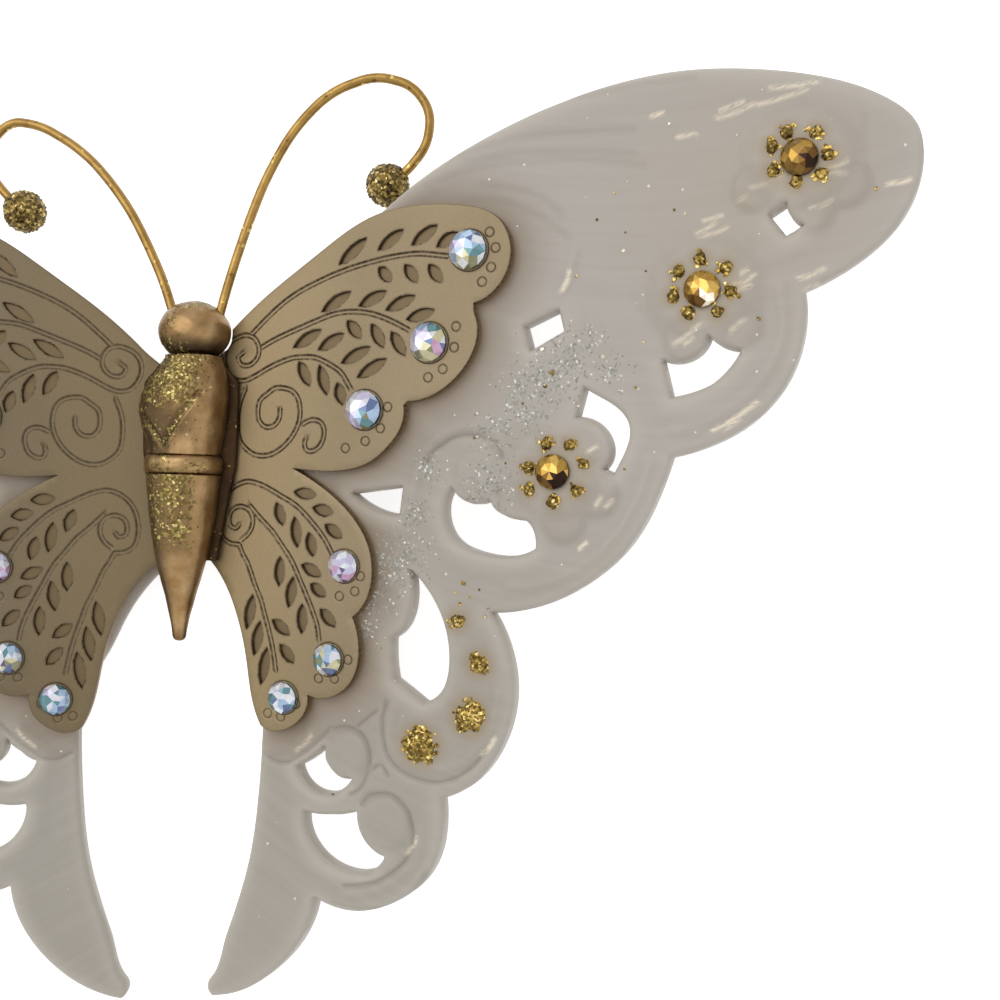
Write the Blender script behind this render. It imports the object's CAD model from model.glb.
import random
from math import atan2, ceil, cos, pi, radians, sin

import bpy
import numpy as np
from mathutils import Matrix, Vector, kdtree, noise
from mathutils.geometry import delaunay_2d_cdt


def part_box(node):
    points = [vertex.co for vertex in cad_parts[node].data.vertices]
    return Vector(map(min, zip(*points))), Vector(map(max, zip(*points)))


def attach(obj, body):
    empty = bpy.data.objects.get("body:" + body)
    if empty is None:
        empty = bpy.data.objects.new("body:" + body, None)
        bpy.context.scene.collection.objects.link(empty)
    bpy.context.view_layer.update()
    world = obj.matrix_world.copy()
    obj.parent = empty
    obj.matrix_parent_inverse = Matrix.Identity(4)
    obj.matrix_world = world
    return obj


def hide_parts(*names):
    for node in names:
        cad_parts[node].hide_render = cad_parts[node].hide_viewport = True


# Looks of the butterfly ornament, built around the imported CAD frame.
# Shapes are worked out in mm and become metres when their mesh is made. A wing's own places are
# (s, t, w): outwards from the ornament's middle line, towards the head, and out of the front face.

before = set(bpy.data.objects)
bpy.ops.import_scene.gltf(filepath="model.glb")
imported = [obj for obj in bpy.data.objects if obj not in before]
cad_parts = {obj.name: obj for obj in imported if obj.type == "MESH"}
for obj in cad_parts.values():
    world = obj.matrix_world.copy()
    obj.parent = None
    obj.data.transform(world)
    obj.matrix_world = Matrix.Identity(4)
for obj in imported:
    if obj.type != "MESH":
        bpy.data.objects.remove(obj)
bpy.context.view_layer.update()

MM = 0.001
SIDES = ("right", "left")

# Sizes of the wings and sheets, as in the CAD source
WING_REACH = 90.7
WING_HEIGHT = 114.4
WING_THICKNESS = 2.4
WING_INSET = 0.8
WING_ANGLE = radians(12.0)
WAIST_SHARE = 0.627
PERCENT = 0.01
SHEET_THICKNESS = 1.5
SHEET_OUTSET = 0.6
SHEET_SCALE_SHARE = 0.982
LEAF_DEPTH = 0.5
SPINE_THICKNESS = 2.4
ROOT_HEIGHT = SPINE_THICKNESS + WING_THICKNESS / cos(WING_ANGLE)
LEFT_WING_SHIFT = (2.2, -1.2)
LEFT_SHEET_SHIFT = (0.6, -1.6)

# Flowers, knobs and glitter, as in the CAD source
FLOWER_PAD_HEIGHT = 0.9
PETAL_RING_RADIUS = 5.6
DOT_RING_RADIUS = 3.5
DOT_RADIUS = 0.8
DOT_HEIGHT = 0.6
DAB_HEIGHT = 0.8
UPPER_CRYSTAL_DIAMETER = 4.7
LOWER_CRYSTAL_DIAMETER = 3.9
GOLD_STONE_DIAMETER = 4.1
STONE_HEIGHT_SHARE = 0.36
flower_shares = {"inner": (55.7, 59.8), "middle": (74.4, 77.9), "outer": (85.8, 90.2)}
petal_angles = {
    "inner": (36, -26, -78, -140, 130),
    "middle": (60, -45, -108, 178, 118),
    "outer": (40, -30, -78, -150, 108),
}
dot_angles = {
    "inner": (104, 59, 15, -36, -89, -144, 172),
    "middle": (95, 43, -5, -56, -118, -168, 144),
    "outer": (116, 59, 3, -39, -97, -156, 156),
}
dot_distance_shares = {
    "inner": (0.97, 1.06, 1.1, 1.02, 1.0, 1.02, 0.88),
    "middle": (0.98, 1.0, 0.92, 0.88, 0.86, 0.97, 0.99),
    "outer": (0.91, 0.89, 0.86, 0.85, 0.77, 0.88, 0.97),
}
knob_shares = [((45.4, 59.6), 3.8), ((27.3, 29.1), 3.3), ((33.0, 22.0), 3.9)]
dab_shares = [((37.8, 30.6), 2.6), ((44.7, 34.1), 2.3), ((45.9, 39.7), 1.5), ((42.7, 44.0), 1.1)]
upper_crystal_shares = [(42.8, 83.0), (37.4, 73.3), (28.0, 66.1)]
lower_crystal_shares = [(25.5, 49.0), (23.5, 38.7), (16.6, 34.1)]


def wing_place(share):
    """A place on the casting's front face, from shares in percent."""
    across, up = share
    return (WING_REACH * across * PERCENT - WING_INSET, WING_HEIGHT * (up * PERCENT - WAIST_SHARE))


def sheet_place(share):
    """A place on the gold sheet, from shares in percent."""
    across, up = wing_place(share)
    return (SHEET_OUTSET + SHEET_SCALE_SHARE * (across + WING_INSET), SHEET_SCALE_SHARE * up)


def to_row(local, side, shift):
    """Points of a wing, in mm, as points of the row frame, in metres."""
    local = np.asarray(local, float)
    across, up, out = local[:, 0], local[:, 1], local[:, 2]
    if side == "left":
        across, up = across + shift[0], up + shift[1]
    x = across * cos(WING_ANGLE) - out * sin(WING_ANGLE)
    z = ROOT_HEIGHT + across * sin(WING_ANGLE) + out * cos(WING_ANGLE)
    return np.stack([-x if side == "left" else x, up, z], 1) * MM


def to_local(row, side, shift):
    """The way back: points of the row frame, in metres, as points of a wing, in mm."""
    row = np.asarray(row, float) / MM
    x = -row[:, 0] if side == "left" else row[:, 0]
    z = row[:, 2] - ROOT_HEIGHT
    across = x * cos(WING_ANGLE) + z * sin(WING_ANGLE)
    out = z * cos(WING_ANGLE) - x * sin(WING_ANGLE)
    up = row[:, 1]
    if side == "left":
        across, up = across - shift[0], up - shift[1]
    return np.stack([across, up, out], 1)


# Meshes

def place_object(name, data):
    """Put new data into the scene as an object."""
    made = bpy.data.objects.new(name, data)
    bpy.context.scene.collection.objects.link(made)
    return made


def new_object(name, points, faces, smooth_angle=None):
    """An object from points in metres and faces, shaded smooth below an angle if one is given."""
    mesh = bpy.data.meshes.new(name)
    mesh.from_pydata([tuple(p) for p in points], [], [tuple(int(i) for i in f) for f in faces])
    mesh.validate()
    mesh.update()
    if smooth_angle is not None:
        mesh.shade_smooth()
        mesh.set_sharp_from_angle(angle=smooth_angle)
    return place_object(name, mesh)


def wing_object(name, local, faces, side, shift, smooth_angle=None):
    """An object from a wing's places. A mirrored one's faces are turned so that they look outwards."""
    if side == "left":
        faces = [tuple(reversed(face)) for face in faces]
    return new_object(name, to_row(local, side, shift), faces, smooth_angle)


def dress(made, material, slot, *nodes):
    """Give a piece its material and slot, let it ride, and hide the nodes that it stands for."""
    made.data.materials.clear()
    made.data.materials.append(material)
    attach(made, "root")
    if nodes:
        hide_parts(*nodes)


def set_layers(mesh, **layers):
    """Store numbers, one per vertex or one for all, for the materials to read."""
    for name, values in layers.items():
        layer = mesh.attributes.new(name, "FLOAT", "POINT")
        layer.data.foreach_set("value", (np.zeros(len(mesh.vertices)) + values).astype(np.float32))


def rim_of(faces):
    """The directed edges that only one of the faces has."""
    rim = set()
    for face in faces:
        for start, end in zip(face, face[1:] + face[:1]):
            if (end, start) in rim:
                rim.remove((end, start))
            else:
                rim.add((start, end))
    return rim


LEVEL_TOLERANCE = 0.01
PLACE_DIGITS = 3


def face_loops(node, side, shift, level):
    """The closed outlines of a node's flat face at one local height, with the material on their left."""
    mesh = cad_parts[node].data
    local = to_local([v.co for v in mesh.vertices], side, shift)
    mesh.calc_loop_triangles()
    on_level = np.abs(local[:, 2] - level) < LEVEL_TOLERANCE
    keys = [tuple(place) for place in np.round(local[:, :2], PLACE_DIGITS)]
    following = dict(rim_of([[keys[corner] for corner in triangle.vertices]
                             for triangle in mesh.loop_triangles
                             if all(on_level[corner] for corner in triangle.vertices)]))
    loops = []
    while following:
        start, here = following.popitem()
        loop = [start]
        while here != start:
            loop.append(here)
            here = following.pop(here)
        loops.append(np.array(loop))
    loops.sort(key=lambda loop: -abs(signed_area(loop)))
    turned = [loops[0] if signed_area(loops[0]) > 0 else loops[0][::-1]]
    turned += [loop if signed_area(loop) < 0 else loop[::-1] for loop in loops[1:]]
    return turned


def signed_area(loop):
    following = np.roll(loop, -1, 0)
    return float((loop[:, 0] * following[:, 1] - loop[:, 1] * following[:, 0]).sum()) / 2


def smooth_run(points, step):
    """Even points along a smooth curve through the given ones, the last one left out."""
    points = np.asarray(points, float)
    lengths = np.linalg.norm(np.diff(points, axis=0), axis=1)
    along = np.concatenate([[0.0], np.cumsum(lengths)])
    slopes = np.diff(points, axis=0) / lengths[:, None]
    tangents = np.empty_like(points)
    tangents[0], tangents[-1] = slopes[0], slopes[-1]
    before, after = lengths[:-1, None], lengths[1:, None]
    tangents[1:-1] = (slopes[:-1] * after + slopes[1:] * before) / (before + after)
    count = max(1, ceil(along[-1] / step))
    wanted = np.linspace(0, along[-1], count + 1)[:-1]
    span = np.clip(np.searchsorted(along, wanted, side="right") - 1, 0, len(lengths) - 1)
    length = lengths[span]
    part = ((wanted - along[span]) / length)[:, None]
    length = length[:, None]
    return ((2 * part ** 3 - 3 * part ** 2 + 1) * points[span]
            + (part ** 3 - 2 * part ** 2 + part) * length * tangents[span]
            + (3 * part ** 2 - 2 * part ** 3) * points[span + 1]
            + (part ** 3 - part ** 2) * length * tangents[span + 1])


CORNER_ANGLE = radians(24.0)


def smooth_loop(loop, step):
    """A closed loop with even points, which keeps its sharp corners."""
    ahead = np.roll(loop, -1, 0) - loop
    behind = loop - np.roll(loop, 1, 0)
    cross = behind[:, 0] * ahead[:, 1] - behind[:, 1] * ahead[:, 0]
    turn = np.abs(np.arctan2(cross, (behind * ahead).sum(1)))
    corners = [int(i) for i in np.nonzero(turn > CORNER_ANGLE)[0]] or [0]
    runs = []
    for start, end in zip(corners, corners[1:] + [corners[0] + len(loop)]):
        runs.append(smooth_run(loop[np.arange(start, end + 1) % len(loop)], step))
    return np.concatenate(runs)


def make_tree(*curves):
    """A search tree over all the points of some curves."""
    points = np.concatenate(curves)
    tree = kdtree.KDTree(len(points))
    for index, point in enumerate(points):
        tree.insert((point[0], point[1], 0.0), index)
    tree.balance()
    return tree


def distances(tree, points):
    """Each point's distance to the nearest one in the tree."""
    return np.array([tree.find((point[0], point[1], 0.0))[2] for point in points])


def inside(points, loops):
    """Which points lie inside the outline and outside its holes."""
    points = np.asarray(points, float)
    within = np.zeros(len(points), bool)
    for loop in loops:
        for start, end in zip(loop, np.roll(loop, -1, 0)):
            if start[1] == end[1]:
                continue
            crosses = (points[:, 1] > start[1]) != (points[:, 1] > end[1])
            slope = (end[0] - start[0]) / (end[1] - start[1])
            within ^= crosses & (points[:, 0] < start[0] + slope * (points[:, 1] - start[1]))
    return within


def normals_of(line, closed):
    """Unit normals to the left of a line's points."""
    if closed:
        ahead = np.roll(line, -1, 0) - np.roll(line, 1, 0)
    else:
        ahead = np.gradient(line, axis=0)
    ahead /= np.linalg.norm(ahead, axis=1)[:, None]
    return np.stack([-ahead[:, 1], ahead[:, 0]], 1)


MERGE_DISTANCE = 1e-6
HEX_ROW_SHARE = 0.866
RING_KEPT_SHARE = 0.94
GRID_KEPT_SHARE = 0.6


def triangulate(points, edges, loops):
    """Triangles over the points that fill the outline, and the point that each corner comes from."""
    result = delaunay_2d_cdt([Vector(p) for p in points], edges, [], 0, MERGE_DISTANCE)
    places = np.array([tuple(v) for v in result[0]])
    triangles = np.array([face for face in result[2] if len(face) == 3])
    return places, triangles[inside(places[triangles].mean(1), loops)], result[3]


def make_plate(loops, rim_step, ring_depths, grid_step, lines, heights, wall_levels):
    """A plate's mesh in a wing's places: a dense front with rings along its rim and rows along
    the given lines, then the walls, then a plain back."""
    rims = [smooth_loop(loop, rim_step) for loop in loops]
    rim_tree = make_tree(*[smooth_loop(loop, rim_step / 3) for loop in loops])
    points, edges, kept_off = [], [], []

    def add_row(row, closed):
        first = len(points)
        points.extend(row)
        edges.extend((first + i, first + i + 1) for i in range(len(row) - 1))
        if closed:
            edges.append((first + len(row) - 1, first))

    for rim in rims:
        add_row(rim, True)
    for depth in ring_depths:
        for rim in rims:
            ring = rim + normals_of(rim, True) * depth
            points.extend(ring[distances(rim_tree, ring) > depth * RING_KEPT_SHARE])
    for line, closed, offsets in lines:
        for offset in offsets:
            row = line + normals_of(line, closed) * offset
            add_row(row, closed)
            kept_off.extend(row)
    low, high = np.min(rims[0], 0), np.max(rims[0], 0)
    rows = np.arange(low[1], high[1], grid_step * HEX_ROW_SHARE)
    grid = np.array([(x + (grid_step / 2 if j % 2 else 0), y)
                     for j, y in enumerate(rows) for x in np.arange(low[0], high[0], grid_step)])
    grid = grid[inside(grid, rims)]
    grid = grid[distances(rim_tree, grid) > ring_depths[-1] + grid_step / 2]
    grid = grid[distances(make_tree(kept_off), grid) > grid_step * GRID_KEPT_SHARE]
    points.extend(grid)
    places, triangles, _ = triangulate(points, edges, rims)
    front = np.column_stack([places, heights(places, distances(rim_tree, places))])

    faces = [tuple(triangle) for triangle in triangles]
    rim_edges = rim_of(faces)
    rim_points = sorted({start for start, _ in rim_edges})
    row_of = {point: row for row, point in enumerate(rim_points)}
    parts = [front]
    upper = {point: point for point in rim_points}
    first = len(front)
    for level in wall_levels:
        lower = {point: first + row_of[point] for point in rim_points}
        ring = front[rim_points].copy()
        ring[:, 2] = level
        parts.append(ring)
        faces += [(upper[start], lower[start], lower[end], upper[end]) for start, end in rim_edges]
        upper = lower
        first += len(rim_points)
    back_edges = [(row_of[start], row_of[end]) for start, end in rim_edges]
    _, triangles, origins = triangulate(front[rim_points][:, :2], back_edges, rims)
    last = first - len(rim_points)
    faces += [tuple(last + origins[i][0] for i in reversed(triangle)) for triangle in triangles]
    used = np.zeros(first, bool)
    for face in faces:
        used[list(face)] = True
    renumber = np.cumsum(used) - 1
    return np.concatenate(parts)[used], [tuple(renumber[i] for i in face) for face in faces]


def smoothstep(low, high, values):
    """A soft rise from 0 to 1 between two values, or a fall where the first is the higher one."""
    part = np.clip((np.asarray(values, float) - low) / (high - low), 0, 1)
    return part * part * (3 - 2 * part)


def fade(low, high, values):
    """A soft fall from 1 to 0 between two values."""
    return 1 - smoothstep(low, high, values)


def away(places, place):
    """Distances of many places from one."""
    return np.linalg.norm(places - np.array(place), axis=1)


# Relief of the castings

EDGE_RADIUS = 1.0
edge_ring_shares = (0.015, 0.07, 0.18, 0.36, 0.62, 1.0)
PETAL_RADIUS = 2.9
PETAL_STEP = 0.45
FAINT_PETAL_STEP = 0.12
PETAL_CROWN = 0.12
KNOB_STEP = 0.3
KNOB_CROWN = 0.15
STEP_WIDTH = 0.8
PAD_FLAT_RADIUS = 4.3
PAD_FOOT_RADIUS = 7.5
RIDGE_HEIGHT = 0.28
RIDGE_HALF_WIDTH = 1.1

# Soft ridges and thin grooves along the scallops and round the scrolls, in shares of the casting
ridge_shares = [
    [(83.6, 78.2), (84.2, 74.0), (82.6, 70.2), (79.0, 67.0), (74.5, 64.9), (70.6, 64.2)],
    [(68.2, 61.0), (66.6, 57.2), (63.4, 53.0), (59.0, 49.9), (54.0, 48.3), (49.5, 47.8)],
    [(33.7, 34.3), (33.3, 32.6), (33.3, 30.9), (34.3, 29.4), (36.1, 28.4), (39.0, 28.2), (42.4, 28.6),
     (45.6, 30.6), (48.0, 33.6), (48.8, 37.0)],
    [(38.2, 21.6), (38.0, 19.4), (36.7, 17.6), (35.0, 16.2), (33.0, 15.1), (30.0, 14.1), (26.6, 13.5)],
    [(35.4, 57.0), (36.2, 58.9), (36.7, 60.4), (37.7, 61.9), (39.6, 63.4), (42.4, 64.4), (45.6, 64.4)],
    [(14.3, 29.0), (16.5, 28.6), (18.7, 29.1), (20.4, 30.1), (21.8, 31.1)],
    [(57.4, 82.4), (57.0, 80.6), (56.3, 79.0), (55.3, 77.8)],
]
groove_shares = [
    [(24.8, 31.5), (27.0, 31.8), (28.7, 31.4), (29.9, 30.4), (30.4, 29.0), (30.2, 27.2), (28.9, 25.2),
     (26.9, 24.3)],
    [(29.5, 23.7), (30.4, 24.6), (31.9, 25.0), (33.7, 25.0), (34.9, 24.5), (36.1, 23.6), (36.8, 22.3),
     (37.0, 20.2), (36.3, 18.5), (35.1, 17.4), (33.6, 16.4), (31.8, 15.5), (29.1, 14.9), (26.5, 14.5)],
    [(32.7, 34.9), (32.2, 33.6), (32.3, 31.1), (32.8, 29.5), (33.9, 28.3), (35.4, 27.5), (37.3, 27.0),
     (40.7, 26.9), (42.8, 27.4), (44.5, 28.3), (46.0, 29.4), (47.4, 31.0)],
    [(30.5, 27.4), (31.9, 28.0), (33.5, 26.6)],
    [(14.0, 28.0), (15.9, 27.3), (17.8, 27.3), (19.8, 28.2), (21.7, 29.3), (23.3, 30.6), (24.8, 31.9)],
    [(28.5, 32.0), (30.0, 33.0), (31.7, 34.1)],
    [(25.5, 12.6), (28.5, 12.4), (31.8, 12.7), (34.9, 13.6), (37.4, 15.2), (39.3, 17.5)],
    [(37.6, 60.5), (38.4, 61.6), (39.7, 62.4), (41.1, 63.1), (43.0, 63.5), (45.0, 63.4), (46.7, 63.0),
     (47.8, 62.2), (48.6, 61.0)],
]
feather_shares = [
    [(36.5, 90.0), (41.6, 91.1), (46.5, 91.7), (51.4, 91.8), (56.8, 91.7), (62.2, 91.2), (66.8, 90.6)],
    [(39.3, 92.5), (42.9, 93.3), (46.4, 94.0), (50.6, 94.4), (55.4, 94.5), (60.1, 94.5), (65.4, 94.3)],
    [(44.5, 89.7), (48.0, 89.3), (51.5, 88.5), (54.0, 87.4), (56.1, 85.9)],
    [(41.4, 95.3), (47.0, 96.6), (53.2, 97.6), (58.6, 98.2), (63.3, 98.6), (68.5, 98.9), (72.9, 99.0)],
    [(42.2, 92.1), (47.9, 92.6), (54.1, 92.7), (60.2, 92.4), (65.5, 91.9)],
    [(40.0, 87.6), (46.0, 88.0), (52.0, 86.4), (57.0, 83.6)],
]
# Bright strokes of pearl pigment, in shares of the casting
stroke_shares = [
    [(75.6, 94.8), (77.4, 95.1), (80.5, 96.1)], [(75.8, 95.5), (79.0, 96.3)],
    [(80.5, 95.8), (82.9, 96.1), (85.3, 96.6)], [(81.9, 97.3), (84.7, 97.3), (87.9, 97.6)],
    [(84.8, 96.5), (86.8, 97.0)], [(89.1, 89.0), (90.3, 89.2), (91.8, 89.9)], [(89.4, 88.5), (91.6, 88.5)],
    [(87.1, 85.4), (88.5, 85.6), (89.9, 86.2)], [(80.1, 87.7), (82.0, 87.9), (83.9, 88.6)],
    [(78.6, 86.5), (79.6, 86.9)], [(73.4, 83.6), (74.4, 83.9), (76.0, 84.8)],
    [(73.9, 83.2), (75.7, 83.5), (77.5, 84.1)], [(74.2, 84.8), (76.9, 85.3)],
    [(78.2, 78.3), (79.6, 78.6), (81.0, 79.5)], [(78.7, 77.7), (80.7, 78.3)], [(79.2, 79.4), (80.3, 79.9)],
    [(70.9, 72.6), (72.5, 73.4), (74.5, 74.7)], [(72.3, 72.6), (73.7, 73.4)], [(78.1, 73.9), (79.8, 75.1)],
    [(76.0, 64.2), (78.4, 65.2), (81.6, 67.1)], [(77.6, 64.4), (79.5, 65.5)],
    [(85.9, 78.8), (87.3, 79.0), (89.2, 79.8)], [(86.6, 77.8), (88.5, 78.4)], [(60.4, 61.9), (61.5, 62.5)],
    [(59.3, 52.1), (60.5, 52.9)], [(62.7, 56.4), (63.8, 57.3)], [(61.4, 56.5), (62.2, 57.4)],
    [(46.7, 30.3), (47.7, 31.1), (48.6, 32.4)], [(36.4, 19.1), (37.3, 20.0), (37.8, 21.1)],
    [(19.3, 28.8), (20.7, 29.7), (21.9, 30.8)], [(95.9, 87.4), (97.8, 87.5), (99.0, 87.8)],
    [(70.6, 93.2), (73.1, 93.4)], [(67.3, 95.5), (69.0, 95.8)], [(56.1, 78.3), (56.7, 79.2), (57.0, 80.4)],
]
STROKE_HALF_WIDTH = 0.48
GROOVE_DEPTH = 0.28
GROOVE_HALF_WIDTH = 0.5
FEATHER_DEPTH = 0.1
BEAD_HEIGHT = 0.12
BEAD_MIDDLE = 2.0
BEAD_HALF_WIDTH = 1.0


CURVE_STEP = 0.4
GROOVE_TREE_STEP = 0.1
STROKE_TREE_STEP = 0.08


def wing_curves(lines):
    """Lines in shares as smooth curves on the casting."""
    return [smooth_run([wing_place(share) for share in line], CURVE_STEP) for line in lines]


groove_curves = wing_curves(groove_shares)
stroke_curves = wing_curves(stroke_shares)
ridge_tree = make_tree(*wing_curves(ridge_shares))
feather_tree = make_tree(*wing_curves(feather_shares))
groove_tree = make_tree(*[smooth_run(curve, GROOVE_TREE_STEP) for curve in groove_curves])
stroke_tree = make_tree(*[smooth_run(curve, STROKE_TREE_STEP) for curve in stroke_curves])


def petals(name):
    """The angle and the middle of each petal of a flower."""
    for angle in petal_angles[name]:
        turn = radians(angle)
        reach = PETAL_RING_RADIUS * np.array([cos(turn), sin(turn)])
        yield angle, np.array(wing_place(flower_shares[name])) + reach


def crowned(off, step, radius, crown):
    """A round raised form with a soft step at its rim and a low crown."""
    return step * fade(radius - STEP_WIDTH, radius, off) + crown * np.clip(1 - (off / radius) ** 2, 0, 1)


def wing_relief(places):
    """How far the casting's front stands proud of its plate."""
    height = RIDGE_HEIGHT * fade(0, RIDGE_HALF_WIDTH, distances(ridge_tree, places))
    for name, share in flower_shares.items():
        flower = FLOWER_PAD_HEIGHT * fade(PAD_FLAT_RADIUS, PAD_FOOT_RADIUS, away(places, wing_place(share)))
        for angle, middle in petals(name):
            step = PETAL_STEP if angle < 0 else FAINT_PETAL_STEP
            petal = crowned(away(places, middle), step, PETAL_RADIUS, PETAL_CROWN)
            flower = np.maximum(flower, petal)
        height = np.maximum(height, flower)
    for share, radius_share in knob_shares:
        radius = WING_REACH * radius_share * PERCENT
        height = np.maximum(height, crowned(away(places, wing_place(share)), KNOB_STEP, radius, KNOB_CROWN))
    height -= GROOVE_DEPTH * fade(0, GROOVE_HALF_WIDTH, distances(groove_tree, places))
    height -= FEATHER_DEPTH * fade(0, GROOVE_HALF_WIDTH, distances(feather_tree, places))
    return height


def edge_drop(depth_in, radius):
    """How far a rounded edge lies below the face."""
    into = radius - np.minimum(depth_in, radius)
    return radius - np.sqrt(np.maximum(radius ** 2 - into ** 2, 0))


def wing_heights(places, depth_in):
    """The front's height: the relief, less the rounding of the edges."""
    bead = BEAD_HEIGHT * np.exp(-((depth_in - BEAD_MIDDLE) / BEAD_HALF_WIDTH) ** 2)
    return wing_relief(places) + bead - edge_drop(depth_in, EDGE_RADIUS)


# Tints of the castings: amber stains round the glitter, silver glitter patches and pearl strokes

silver_patches = [
    ((50.2, 67.2), 3.0), ((53.5, 69.3), 3.2), ((56.9, 71.3), 2.8), ((59.9, 72.6), 2.2), ((47.5, 64.1), 2.6),
    ((52.0, 66.0), 2.6), ((63.0, 70.4), 1.8), ((46.5, 58.4), 2.6), ((38.0, 60.0), 1.8), ((33.0, 49.0), 3.4),
    ((31.0, 45.4), 2.4), ((36.0, 51.0), 2.0), ((28.6, 42.0), 1.8), ((36.0, 55.0), 1.8),
]
PATCH_SHARE = 0.88
WARM_TINT_MIDDLE_SHARE = (80.0, 88.0)
WARM_TINT_RADIUS = 13.0
GLOW_WIDTH = 3.6
RIM_WIDTH = 1.3
RIM_WHITENESS = 0.42
FAINT_PETAL_SHARE = 0.35
PETAL_RIM_WIDTH = 0.5
ROW_SHARES = (-1.0, -0.5, 0.0, 0.5, 1.0)
DOT_STAIN, DAB_STAIN, STONE_STAIN = 0.7, 0.8, 0.9
CASTING_RIM_STEP = 0.5
CASTING_GRID_STEP = 0.55
CASTING_SMOOTH_ANGLE = radians(50.0)
WALL_STEP = 0.25
FEATHER_SPREAD = 1.6
OUTER_REACH = (28, 54)
OUTER_HEIGHT = (-26, -4)
TAIL_HEIGHT = (-30, -52)
WALL_DEPTH = (-0.7, -1.3)
SWIRL_BEND = 0.006
SWIRL_MIDDLE = 62


def patch_layer(places):
    """A soft mask over the silver patches."""
    mask = np.zeros(len(places))
    for share, radius in silver_patches:
        mask = np.maximum(mask, np.exp(-(away(places, wing_place(share)) / (PATCH_SHARE * radius)) ** 2))
    return mask


def dot_places(name):
    """The places of one flower's glitter dots."""
    middle = wing_place(flower_shares[name])
    found = []
    for angle, share in zip(dot_angles[name], dot_distance_shares[name]):
        reach = DOT_RING_RADIUS * share
        found.append((middle[0] + reach * cos(radians(angle)), middle[1] + reach * sin(radians(angle))))
    return found


dots = [(place, DOT_RADIUS) for name in flower_shares for place in dot_places(name)]
dabs = [(wing_place(share), WING_REACH * radius * PERCENT) for share, radius in dab_shares]


def petal_layer(places):
    """Where the petals of the flowers lie, the raised ones more than the faint ones."""
    mask = np.zeros(len(places))
    for name in flower_shares:
        for angle, middle in petals(name):
            shown = 1.0 if angle < 0 else FAINT_PETAL_SHARE
            off = away(places, middle)
            mask = np.maximum(mask, shown * fade(PETAL_RADIUS - PETAL_RIM_WIDTH, PETAL_RADIUS, off))
    return mask


def stain_layer(places):
    """How much amber the resin shows round the dots, stones and dabs."""
    spots = [(place, radius, DOT_STAIN) for place, radius in dots]
    spots += [(place, radius, DAB_STAIN) for place, radius in dabs]
    spots += [(wing_place(share), GOLD_STONE_DIAMETER / 2, STONE_STAIN) for share in flower_shares.values()]
    stain = np.zeros(len(places))
    for place, radius, spread in spots:
        off = np.maximum(away(places, place) - radius, 0)
        stain = np.maximum(stain, np.exp(-(off / spread) ** 2))
    return stain


def make_wing(side):
    """One casting, dressed, with the layers that its material reads."""
    node = "wing_" + side
    loops = face_loops(node, side, LEFT_WING_SHIFT, -WING_THICKNESS)
    rings = [EDGE_RADIUS * share for share in edge_ring_shares]
    lines = [(curve, False, [GROOVE_HALF_WIDTH * share for share in ROW_SHARES]) for curve in groove_curves]
    lines += [(curve, False, [STROKE_HALF_WIDTH * share for share in ROW_SHARES]) for curve in stroke_curves]
    levels = (-WING_THICKNESS + WALL_STEP, -WING_THICKNESS)
    local, faces = make_plate(loops, CASTING_RIM_STEP, rings, CASTING_GRID_STEP, lines, wing_heights, levels)
    made = wing_object("casting_" + side, local, faces, side, LEFT_WING_SHIFT, CASTING_SMOOTH_ANGLE)
    places = local[:, :2]
    on_front = local[:, 2] > -WING_THICKNESS
    sheet_rim = face_loops("filigree_" + side, side, LEFT_SHEET_SHIFT, SHEET_THICKNESS)[0]
    if side == "left":
        sheet_rim = sheet_rim + np.subtract(LEFT_SHEET_SHIFT, LEFT_WING_SHIFT)
    beside = distances(make_tree(smooth_loop(sheet_rim, CURVE_STEP)), places)
    carved = fade(0, GROOVE_HALF_WIDTH, distances(groove_tree, places))
    feathered = fade(0, FEATHER_SPREAD * GROOVE_HALF_WIDTH, distances(feather_tree, places))
    rim_off = distances(make_tree(*[smooth_loop(loop, CURVE_STEP) for loop in loops]), places)
    rim = RIM_WHITENESS * np.exp(-(rim_off / RIM_WIDTH) ** 2)
    set_layers(
        made.data,
        stain=stain_layer(places) * on_front,
        silver=patch_layer(places),
        pearl=fade(0, STROKE_HALF_WIDTH, distances(stroke_tree, places)),
        glow=np.exp(-(beside / GLOW_WIDTH) ** 2) * on_front,
        carved=np.maximum(carved, feathered),
        warm=np.exp(-(away(places, wing_place(WARM_TINT_MIDDLE_SHARE)) / WARM_TINT_RADIUS) ** 2),
        petal=petal_layer(places),
        outer=smoothstep(*OUTER_REACH, away(places, (0, 0))) * smoothstep(*OUTER_HEIGHT, places[:, 1]),
        tail=smoothstep(*TAIL_HEIGHT, places[:, 1]),
        wall=np.maximum(rim, smoothstep(*WALL_DEPTH, local[:, 2])),
        swirl=places[:, 1] - SWIRL_BEND * (places[:, 0] - SWIRL_MIDDLE) ** 2)
    dress(made, pearl, "pearl_casting", node)


# Engraving of the gold sheets: channels and small rings, in mm on the sheet

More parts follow.
